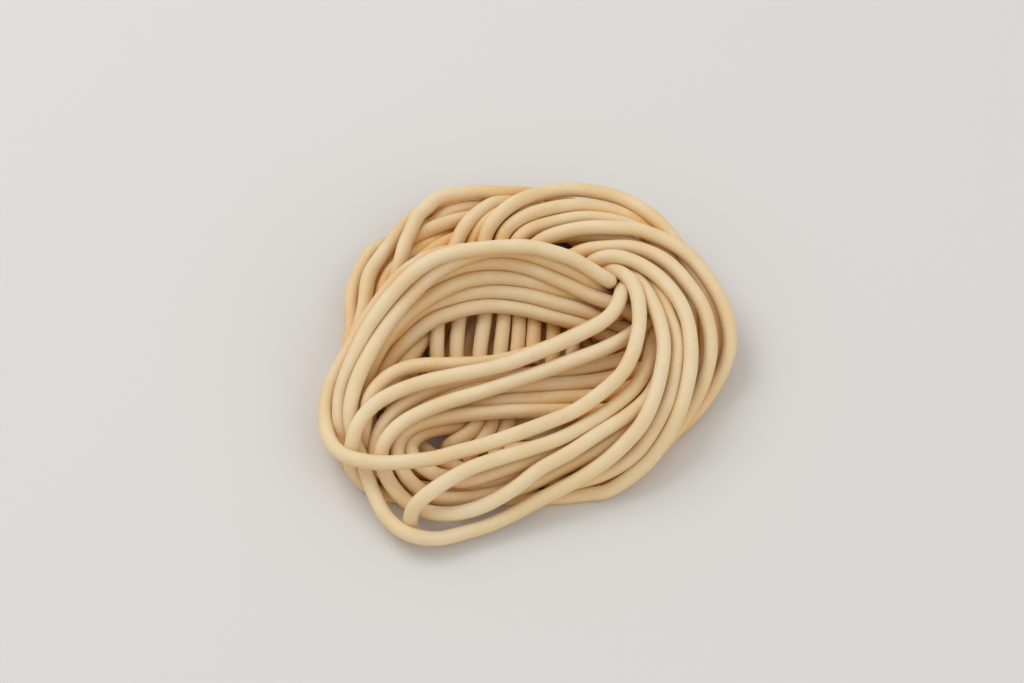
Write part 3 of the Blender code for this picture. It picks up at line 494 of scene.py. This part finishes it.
@dataclass(frozen=True)
class StrandRouter:
    """Turns the listed routes and the bed's windings into evenly spaced centre lines."""

    view: Viewpoint
    thickness: float = 3.0
    spacing: float = 1.5
    wander: float = 0.15
    wander_length: float = 16.0
    seed: int = 7
    bed_middle: tuple[float, float] = (0.5, 3.0)
    bed_reach: tuple[float, ...] = (36.5, 35.0, 35.5, 32.5, 36.0, 35.3, 34.6, 36.0, 34.0, 31.0, 30.0, 30.7)
    bed_gap: float = 3.3
    bed_points_per_turn: int = 72
    bed_clearance: float = 2.5
    bed_shortest_run: int = 17
    windings: tuple[Winding, ...] = (
        Winding(height=1.56, outer_share=1.0, inner_share=0.08, set_back=0.0, start=70.0),
        Winding(height=4.4, outer_share=0.90, inner_share=0.74, set_back=2.0, start=100.0),
        Winding(height=7.0, outer_share=0.82, inner_share=0.75, set_back=4.5, start=290.0),
    )

    def crown(self) -> list[Strand]:
        """Makes the strands that show from above, the lone ones first and then those of each sheaf."""
        routes = list(LONE_ROUTES.items())
        for name, (shares, near_edge, far_edge) in SHEAVES.items():
            for number, share in enumerate(shares):
                places = [tuple(a + (b - a) * share for a, b in zip(near, far))
                          for near, far in zip(near_edge, far_edge)]
                routes.append((f"{name}_{number}", places))
        dice = np.random.default_rng(self.seed)
        strands = []
        for name, places in routes:
            knots = np.array([self.view.real_place(*place) for place in places])
            points = self._even(self._curve(knots))
            points += self._wander(points, dice)
            strands.append(Strand(name, Layer.CROWN, self._on_board(points), 1.0))
        return strands

    def bed(self, crown: list[Strand]) -> list[Strand]:
        """Makes the hidden strands, wound flat from the rim inwards and stopped short of the crown's feet."""
        taken = np.vstack([strand.points for strand in crown])
        strands = []
        dice = np.random.default_rng(self.seed + 1)
        step_in = self.bed_gap * len(self.bed_reach) / sum(self.bed_reach)
        for number, winding in enumerate(self.windings):
            turns = (winding.outer_share - winding.inner_share) / step_in
            wound = np.linspace(0.0, turns, int(turns * self.bed_points_per_turn))
            angles = math.radians(winding.start) + 2.0 * math.pi * wound
            radius = self._reach(angles) * (winding.outer_share - step_in * wound)
            points = np.column_stack([
                self.bed_middle[0] + radius * np.cos(angles),
                self.bed_middle[1] + winding.set_back + radius * np.sin(angles),
                np.full(len(angles), winding.height),
            ])
            points = self._even(points)
            points += self._wander(points, dice)
            for part, run in enumerate(self._free_runs(self._on_board(points), taken)):
                strands.append(Strand(f"winding_{number}_{part}", Layer.BED, run, 0.15))
        return strands

    def _free_runs(self, points: np.ndarray, taken: np.ndarray) -> list[np.ndarray]:
        """Splits a winding into the runs that lie clear of the places taken, leaving out the shortest."""
        runs: list[list[np.ndarray]] = [[]]
        for point in points:
            if np.linalg.norm(taken - point, axis=1).min() > self.bed_clearance:
                runs[-1].append(point)
            elif runs[-1]:
                runs.append([])
        return [np.array(run) for run in runs if len(run) >= self.bed_shortest_run]

    def _reach(self, angles: np.ndarray) -> np.ndarray:
        """How far the lowest winding reaches from the bed's middle in each direction."""
        stops = np.linspace(0.0, 2.0 * math.pi, len(self.bed_reach), endpoint=False)
        ease = math.radians(9.0)
        return sum(np.interp(angles + turn, stops, self.bed_reach, period=2.0 * math.pi)
                   for turn in (-ease, 0.0, ease)) / 3.0

    def _curve(self, knots: np.ndarray) -> np.ndarray:
        """Runs a smooth curve through the knots."""
        knots = np.vstack([2.0 * knots[0] - knots[1], knots, 2.0 * knots[-1] - knots[-2]])
        steps = np.arange(16)[:, None] / 16.0
        runs = []
        for p0, p1, p2, p3 in zip(knots, knots[1:], knots[2:], knots[3:]):
            runs.append(0.5 * (2.0 * p1 + (p2 - p0) * steps + (2.0 * p0 - 5.0 * p1 + 4.0 * p2 - p3) * steps ** 2
                               + (3.0 * p1 - p0 - 3.0 * p2 + p3) * steps ** 3))
        runs.append(knots[-2][None, :])
        return np.vstack(runs)

    def _even(self, points: np.ndarray) -> np.ndarray:
        """Respaces points evenly along their own line."""
        along = np.concatenate([[0.0], np.cumsum(np.linalg.norm(np.diff(points, axis=0), axis=1))])
        wanted = np.linspace(0.0, along[-1], max(3, round(along[-1] / self.spacing) + 1))
        return np.column_stack([np.interp(wanted, along, points[:, axis]) for axis in range(3)])

    def _wander(self, points: np.ndarray, dice: np.random.Generator) -> np.ndarray:
        """Makes a gentle seeded sway for a strand, so that no two run quite parallel."""
        length = self.spacing * len(points)
        knots = max(4, int(length / self.wander_length) + 1)
        sway = dice.normal(0.0, self.wander, (knots, 3))
        where = np.linspace(0.0, knots - 1.0, len(points))
        low = np.minimum(where.astype(int), knots - 2)
        share = (where - low)[:, None]
        smooth = share * share * (3.0 - 2.0 * share)
        return sway[low] * (1.0 - smooth) + sway[low + 1] * smooth

    def _on_board(self, points: np.ndarray) -> np.ndarray:
        """Lifts what would sink into the board."""
        points[:, 2] = np.maximum(points[:, 2], 0.5 * self.thickness + 0.05)
        return points


@dataclass(frozen=True)
class Settling:
    """Lets the strands push each other apart until they touch instead of crossing."""

    contact: float = 2.96
    half_thickness: float = 1.5
    floor: float = 1.55
    ceiling: float = 20.6
    rounds: int = 260
    last_rounds: int = 8
    search_every: int = 6
    search_margin: float = 0.7
    skip_along: int = 4
    push_gain: float = 1.4
    opening_push: float = 0.5
    sideways: float = 0.5
    pull: float = 0.02
    bed_pull_share: float = 0.3
    cover_rise: float = 1.6
    cover_reach: float = 6.0
    cover_full: float = 9.0
    told_overlap: float = 0.4

    def settle(self, strands: list[Strand], view: Viewpoint) -> None:
        """Moves the strands' points in place.

        Args:
            strands: Every strand, each with its starting line.
            view: The viewpoint, along whose ray the strands yield most easily.
        """
        ray = view.ray
        home = np.vstack([strand.points for strand in strands])
        owner = np.concatenate([np.full(len(strand.points), i) for i, strand in enumerate(strands)])
        order = np.concatenate([np.arange(len(strand.points)) for strand in strands])
        yielding = np.concatenate([np.full(len(strand.points), 1.0 / strand.firmness) for strand in strands])
        crown = np.concatenate([np.full(len(s.points), s.layer is Layer.CROWN) for s in strands])
        before, after = self._neighbours(owner)
        points = home.copy()
        first = second = np.zeros(0, int)
        for turn in range(self.rounds):
            if turn % self.search_every == 0:
                first, second = self._close_pairs(points, owner, order)
            push = self._pushes(points, first, second, yielding)
            along_ray = (push @ ray)[:, None] * ray
            push = np.where(crown[:, None], along_ray + self.sideways * (push - along_ray), push)
            push += self._clear_openings(points, view, ray)
            shift = points + push - home
            late = turn >= self.rounds - self.last_rounds
            for _ in range(1 if late else 2):
                shift = 0.5 * shift + 0.25 * (shift[before] + shift[after])
            if not late:
                shift *= 1.0 - self.pull * np.where(crown, 1.0, self.bed_pull_share)[:, None]
            points = home + shift
            points[:, 2] = np.clip(points[:, 2], self.floor, self.ceiling)
        self._report(strands, points, home, owner, first, second)
        # The cover along the camera's ray, which the finish turns into painted shade.
        cover = self._cover(points, owner, ray)
        start = 0
        for strand in strands:
            end = start + len(strand.points)
            strand.points, strand.buried = points[start:end], cover[start:end]
            start = end

    def _cover(self, points: np.ndarray, owner: np.ndarray, ray: np.ndarray) -> np.ndarray:
        """How much other strand lies over each point along the camera's ray, from 0 for open to 1 for well
        covered; it sets the painted shade.
        """
        cover = np.zeros(len(points))
        for number, point in enumerate(points):
            between = points - point
            rise = between @ ray
            aside = np.linalg.norm(between - rise[:, None] * ray, axis=1)
            over = (rise > self.cover_rise) & (aside < self.cover_reach) & (owner != owner[number])
            cover[number] = (1.0 - aside[over] / self.cover_reach).sum()
        return np.clip(cover / self.cover_full, 0.0, 1.0)

    def _report(self, strands: list[Strand], points: np.ndarray, home: np.ndarray, owner: np.ndarray,
                first: np.ndarray, second: np.ndarray) -> None:
        """Logs how far the strands moved and which pairs still cross."""
        gap = np.linalg.norm(points[first] - points[second], axis=1)
        deep = np.clip(self.contact - gap, 0.0, None)
        moved = np.linalg.norm(points - home, axis=1)
        LOG.info("settled %d points of %d strands: deepest overlap %.2f mm, over %.1f mm at %d pairs, "
                 "moved %.2f mm on average and %.2f mm at most", len(points), len(strands), deep.max(),
                 self.told_overlap, int((deep > self.told_overlap).sum()), moved.mean(), moved.max())
        told = set()
        for pair in np.argsort(deep)[::-1]:
            names = (strands[owner[first[pair]]].name, strands[owner[second[pair]]].name)
            if deep[pair] > self.told_overlap and names not in told:
                told.add(names)
                LOG.info("overlap %.2f mm: %s and %s", deep[pair], *names)

    @staticmethod
    def _neighbours(owner: np.ndarray) -> tuple[np.ndarray, np.ndarray]:
        """Numbers of the points before and after each point on its own strand."""
        numbers = np.arange(len(owner))
        before = np.maximum(numbers - 1, 0)
        after = np.minimum(numbers + 1, len(owner) - 1)
        before = np.where(owner[before] == owner, before, numbers)
        after = np.where(owner[after] == owner, after, numbers)
        return before, after

    def _clear_openings(self, points: np.ndarray, view: Viewpoint, ray: np.ndarray) -> np.ndarray:
        """Pushes strands out of the places where the nest is open down to the board."""
        push = np.zeros_like(points)
        for across, up, radius in OPENINGS:
            foot = np.array(view.real_place(across, up, 0.0))
            between = points - foot
            between -= (between @ ray)[:, None] * ray
            gap = np.maximum(np.linalg.norm(between, axis=1), 1e-6)
            short = np.clip(radius + self.half_thickness - gap, 0.0, None)
            push += between / gap[:, None] * short[:, None] * self.opening_push
        return push

    def _close_pairs(self, points: np.ndarray, owner: np.ndarray,
                     order: np.ndarray) -> tuple[np.ndarray, np.ndarray]:
        """Finds every pair of points that are close, leaving out a strand's own next points."""
        tree = KDTree(len(points))
        for number, point in enumerate(points):
            tree.insert(point, number)
        tree.balance()
        reach = self.contact + self.search_margin
        first, second = [], []
        for number, point in enumerate(points):
            for _, other, _ in tree.find_range(point, reach):
                if other > number:
                    first.append(number)
                    second.append(other)
        first, second = np.array(first, int), np.array(second, int)
        apart = (owner[first] != owner[second]) | (np.abs(order[first] - order[second]) > self.skip_along)
        return first[apart], second[apart]

    def _pushes(self, points: np.ndarray, first: np.ndarray, second: np.ndarray,
                yielding: np.ndarray) -> np.ndarray:
        """Works out how far each point is pushed by those too close to it."""
        between = points[first] - points[second]
        gap = np.maximum(np.linalg.norm(between, axis=1), 1e-6)
        deep = np.clip(self.contact - gap, 0.0, None)
        share = yielding[first] / (yielding[first] + yielding[second])
        push = between / gap[:, None] * deep[:, None]
        total = np.zeros_like(points)
        count = np.zeros(len(points))
        np.add.at(total, first, push * share[:, None])
        np.add.at(total, second, -push * (1.0 - share)[:, None])
        touching = deep > 0.0
        np.add.at(count, first[touching], 1.0)
        np.add.at(count, second[touching], 1.0)
        return total / np.maximum(count, 1.0)[:, None] * self.push_gain


class SweepTree:
    """The Geometry Nodes tree that turns centre lines into hollow-ended strands."""

    INPUTS: tuple[tuple[str, str, Any], ...] = (
        ("Thickness", "NodeSocketFloat", 3.0 * MM),
        ("Sides", "NodeSocketInt", 16),
        ("Step", "NodeSocketFloat", 1.5 * MM),
        ("Unevenness", "NodeSocketFloat", 0.10),
        ("Lump Size", "NodeSocketFloat", 12.0 * MM),
        ("Seed", "NodeSocketInt", 3),
        ("Cut End", "NodeSocketObject", None),
        ("Pasta", "NodeSocketMaterial", None),
    )

    def __init__(self) -> None:
        """Builds the tree."""
        tree = bpy.data.node_groups.new("sweep_strands", "GeometryNodeTree")
        tree.interface.new_socket("Geometry", in_out="INPUT", socket_type="NodeSocketGeometry")
        self.identifiers: dict[str, str] = {}
        for name, kind, value in self.INPUTS:
            socket = tree.interface.new_socket(name, in_out="INPUT", socket_type=kind)
            if value is not None:
                socket.default_value = value
            self.identifiers[name] = socket.identifier
        tree.interface.new_socket("Geometry", in_out="OUTPUT", socket_type="NodeSocketGeometry")
        self.tree = tree
        self._fill(NodeSheet(tree))

    def _fill(self, sheet: NodeSheet) -> None:
        """Adds the nodes: respace, vary, sweep, close the ends, join, realize and dress."""
        given = sheet.node("NodeGroupInput")
        socket = {name: Wire(sheet, given.outputs[name]) for name, _, _ in self.INPUTS}
        line = sheet.wire("GeometryNodeResampleCurve", {"mode": "LENGTH"},
                          {"Curve": given.outputs["Geometry"], "Length": socket["Step"]})
        line = sheet.wire("GeometryNodeStoreNamedAttribute", {"data_type": "FLOAT", "domain": "CURVE"},
                          {"Geometry": line, "Name": "tone", "Value": self._dice(sheet, socket["Seed"])})
        # The cover carried in each point's radius, kept as an attribute for the painted shade.
        line = sheet.wire("GeometryNodeStoreNamedAttribute", {"data_type": "FLOAT", "domain": "POINT"},
                          {"Geometry": line, "Name": "buried", "Value": sheet.wire("GeometryNodeInputRadius")})
        line = sheet.wire("GeometryNodeStoreNamedAttribute", {"data_type": "FLOAT", "domain": "POINT"},
                          {"Geometry": line, "Name": "girth", "Value": self._uneven_scale(sheet, socket)})
        girth = sheet.wire("GeometryNodeInputNamedAttribute", {"data_type": "FLOAT"}, {"Name": "girth"})
        ring = sheet.wire("GeometryNodeCurvePrimitiveCircle",
                          values={"Resolution": socket["Sides"], "Radius": socket["Thickness"] * 0.5})
        tube = sheet.wire("GeometryNodeCurveToMesh",
                          values={"Curve": line, "Profile Curve": ring, "Scale": girth})
        first = self._ends(sheet, socket, line, girth, start=1, way=-1.0)
        last = self._ends(sheet, socket, line, girth, start=0, way=1.0)
        join = sheet.node("GeometryNodeJoinGeometry")
        for piece in (tube, first, last):
            sheet.tree.links.new(piece.socket, join.inputs[0])
        whole = sheet.wire("GeometryNodeRealizeInstances", values={"Geometry": join.outputs[0]})
        whole = sheet.wire("GeometryNodeMergeByDistance", values={"Geometry": whole, "Distance": 0.02 * MM})
        whole = sheet.wire("GeometryNodeSetShadeSmooth", values={"Geometry": whole})
        whole = sheet.wire("GeometryNodeSetMaterial", values={"Geometry": whole, "Material": socket["Pasta"]})
        sheet.node("NodeGroupOutput", values={"Geometry": whole})

    @staticmethod
    def _dice(sheet: NodeSheet, seed: Wire) -> Wire:
        """One random number from 0 to 1 for each strand."""
        node = sheet.node("FunctionNodeRandomValue", {"data_type": "FLOAT"}, {"Seed": seed})
        return Wire(sheet, next(s for s in node.outputs if s.enabled))

    @staticmethod
    def _uneven_scale(sheet: NodeSheet, socket: dict[str, Wire]) -> Wire:
        """How thick the strand is at each point, about 1."""
        place = sheet.wire("GeometryNodeInputPosition")
        values = {"Vector": place, "W": socket["Seed"], "Scale": 1.0 / socket["Lump Size"], "Detail": 2.0}
        noise = sheet.wire("ShaderNodeTexNoise", {"noise_dimensions": "4D"}, values)
        return (noise - 0.5) * socket["Unevenness"] * 2.0 + 1.0

    @staticmethod
    def _ends(sheet: NodeSheet, socket: dict[str, Wire], line: Wire, girth: Wire, start: int,
              way: float) -> Wire:
        """Puts the cut end on every strand's first or last point, facing outwards."""
        chosen = sheet.wire("GeometryNodeCurveEndpointSelection",
                            values={"Start Size": start, "End Size": 1 - start})
        out = sheet.wire("ShaderNodeVectorMath", {"operation": "SCALE"},
                         {0: sheet.wire("GeometryNodeInputTangent"), "Scale": way})
        turn = sheet.wire("FunctionNodeAxesToRotation", {"primary_axis": "Z", "secondary_axis": "X"},
                          {"Primary Axis": out, "Secondary Axis": sheet.wire("GeometryNodeInputNormal")})
        end = sheet.wire("GeometryNodeObjectInfo", values={"Object": socket["Cut End"]}, output="Geometry")
        return sheet.wire("GeometryNodeInstanceOnPoints",
                          values={"Points": line, "Selection": chosen, "Instance": end,
                                  "Rotation": turn, "Scale": girth})


@dataclass
class StrandBundle:
    """One mesh of swept strands."""

    name: str
    strands: list[Strand]
    finish: bpy.types.Material
    thickness: float = 3.0
    bore: float = 1.0
    bore_depth: float = 4.0
    lip: float = 0.12
    sides: int = 16
    step: float = 1.3
    unevenness: float = 0.07
    seed: int = 3

    def build(self, sweep: SweepTree) -> bpy.types.Object:
        """Sweeps every strand and returns the finished piece.

        Args:
            sweep: The tree that makes the strands.

        Returns:
            A plain mesh object at the origin.
        """
        guide = self._guide()
        cut_end = self._cut_end()
        modifier = guide.modifiers.new("sweep", "NODES")
        modifier.node_group = sweep.tree
        settings = {"Thickness": self.thickness * MM, "Sides": self.sides, "Step": self.step * MM,
                    "Unevenness": self.unevenness, "Seed": self.seed, "Cut End": cut_end, "Pasta": self.finish}
        for name, value in settings.items():
            modifier[sweep.identifiers[name]] = value
        depsgraph = bpy.context.evaluated_depsgraph_get()
        mesh = bpy.data.meshes.new_from_object(guide.evaluated_get(depsgraph), depsgraph=depsgraph)
        mesh.name = self.name
        for helper in (guide, cut_end):
            bpy.data.objects.remove(helper, do_unlink=True)
        piece = bpy.data.objects.new(self.name, mesh)
        bpy.context.scene.collection.objects.link(piece)
        mesh.calc_loop_triangles()
        LOG.info("%s: %d strands, %d triangles", self.name, len(self.strands), len(mesh.loop_triangles))
        return piece

    def _guide(self) -> bpy.types.Object:
        """Makes one curve object that holds every centre line."""
        curve = bpy.data.curves.new(self.name + "_lines", "CURVE")
        curve.dimensions = "3D"
        for strand in self.strands:
            spline = curve.splines.new("POLY")
            spline.points.add(len(strand.points) - 1)
            rows = np.ones((len(strand.points), 4))
            rows[:, :3] = strand.points * MM
            spline.points.foreach_set("co", rows.ravel())
            # The radius carries the cover that sets the painted shade.
            spline.points.foreach_set("radius", strand.buried)
        guide = bpy.data.objects.new(self.name + "_lines", curve)
        bpy.context.scene.collection.objects.link(guide)
        return guide

    def _cut_end(self) -> bpy.types.Object:
        """Makes the end of a cut strand: a rounded rim, a flat cut and the mouth of the bore."""
        outer, inner = 0.5 * self.thickness, 0.5 * self.bore
        profile = [(outer, 0.0), (outer - 0.3 * self.lip, 0.7 * self.lip), (outer - self.lip, self.lip),
                   (inner + self.lip, self.lip), (inner + 0.3 * self.lip, 0.7 * self.lip), (inner, 0.0),
                   (inner, -self.bore_depth)]
        shape = bmesh.new()
        rings = []
        for radius, rise in profile:
            rings.append([
                shape.verts.new((radius * math.cos(turn) * MM, radius * math.sin(turn) * MM, rise * MM))
                for turn in (2.0 * math.pi * step / self.sides for step in range(self.sides))
            ])
        for low, high in zip(rings, rings[1:]):
            for step in range(self.sides):
                after = (step + 1) % self.sides
                shape.faces.new((low[step], low[after], high[after], high[step]))
        shape.faces.new(rings[-1])
        mesh = bpy.data.meshes.new(self.name + "_cut_end")
        shape.to_mesh(mesh)
        shape.free()
        end = bpy.data.objects.new(self.name + "_cut_end", mesh)
        bpy.context.scene.collection.objects.link(end)
        return end


@dataclass(frozen=True)
class NestCore:
    """The low mound inside the bed, wholly covered by strands."""

    name: str = "nest_core"
    radius: float = 20.0
    low: float = 0.4
    high: float = 2.3
    middle: tuple[float, float] = (0.5, 3.0)
    segments: int = 48
    levels: int = 8

    def build(self, finish: bpy.types.Material) -> bpy.types.Object:
        """Makes the mound as a flattened ball with a lumpy skin."""
        shape = bmesh.new()
        bmesh.ops.create_uvsphere(shape, u_segments=self.segments, v_segments=self.levels * 2, radius=1.0)
        middle, half = 0.5 * (self.low + self.high), 0.5 * (self.high - self.low)
        for vert in shape.verts:
            turn = math.atan2(vert.co.y, vert.co.x)
            lump = self.radius * (1.0 + 0.03 * math.sin(5.0 * turn) + 0.02 * math.sin(9.0 * turn + 1.0))
            vert.co = Vector((self.middle[0] + vert.co.x * lump, self.middle[1] + vert.co.y * lump,
                              middle + vert.co.z * half)) * MM
        mesh = bpy.data.meshes.new(self.name)
        shape.to_mesh(mesh)
        shape.free()
        mesh.shade_smooth()
        mesh.materials.append(finish)
        core = bpy.data.objects.new(self.name, mesh)
        bpy.context.scene.collection.objects.link(core)
        return core


@dataclass(frozen=True)
class Studio:
    """A plain pale floor and plain soft light."""

    floor_size: float = 4.0
    floor_colour: tuple[float, float, float, float] = (0.74, 0.73, 0.71, 1.0)
    floor_roughness: float = 0.9
    key_place: Place = (-0.45, 0.35, 0.75)
    key_power: float = 3.0
    key_size: float = 0.6
    fill_place: Place = (0.6, -0.5, 0.6)
    fill_power: float = 1.5
    fill_size: float = 0.8
    world_colour: tuple[float, float, float, float] = (1.0, 0.99, 0.97, 1.0)
    world_strength: float = 0.64

    def build(self) -> None:
        """Adds the floor, the lights and the even light from all round."""
        self._floor()
        self._light("key_light", self.key_place, self.key_size, self.key_power)
        self._light("fill_light", self.fill_place, self.fill_size, self.fill_power)
        world = bpy.data.worlds.new("studio")
        world.use_nodes = True
        background = world.node_tree.nodes["Background"]
        background.inputs["Color"].default_value = self.world_colour
        background.inputs["Strength"].default_value = self.world_strength
        bpy.context.scene.world = world
        bpy.context.scene.view_settings.view_transform = "Standard"

    def _floor(self) -> None:
        """Lays the floor just under the nest."""
        shape = bmesh.new()
        bmesh.ops.create_grid(shape, x_segments=1, y_segments=1, size=0.5 * self.floor_size)
        mesh = bpy.data.meshes.new("floor")
        shape.to_mesh(mesh)
        shape.free()
        material = bpy.data.materials.new("floor")
        material.use_nodes = True
        shader = material.node_tree.nodes["Principled BSDF"]
        shader.inputs["Base Color"].default_value = self.floor_colour
        shader.inputs["Roughness"].default_value = self.floor_roughness
        mesh.materials.append(material)
        floor = bpy.data.objects.new("floor", mesh)
        bpy.context.scene.collection.objects.link(floor)

    @staticmethod
    def _light(name: str, place: Place, size: float, power: float) -> None:
        """Adds one square soft light that faces the nest."""
        data = bpy.data.lights.new(name, "AREA")
        data.shape = "SQUARE"
        data.size = size
        data.energy = power
        light = bpy.data.objects.new(name, data)
        light.location = place
        aim = Vector((0.0, 0.0, 0.01)) - Vector(place)
        light.rotation_euler = aim.to_track_quat("-Z", "Y").to_euler()
        bpy.context.scene.collection.objects.link(light)


def main() -> None:
    """Builds the nest, hands each piece to its body and lights the scene."""
    logging.basicConfig(level=logging.INFO, format="%(message)s")
    view = Viewpoint()
    view.add_camera()
    Studio().build()
    router = StrandRouter(view)
    crown = router.crown()
    bed = router.bed(crown)
    Settling().settle(crown + bed, view)
    finish = PastaFinish().build()
    sweep = SweepTree()
    pieces = [
        StrandBundle("crown_strands", crown, finish).build(sweep),
        StrandBundle("bed_strands", bed, finish, sides=12, step=1.8, seed=11).build(sweep),
        NestCore().build(finish),
    ]
    for piece in pieces:
        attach(piece, "root")
        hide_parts(NODE)
        LOG.info("%s rides on the nest's body", piece.name)


if __name__ == "__main__":
    main()
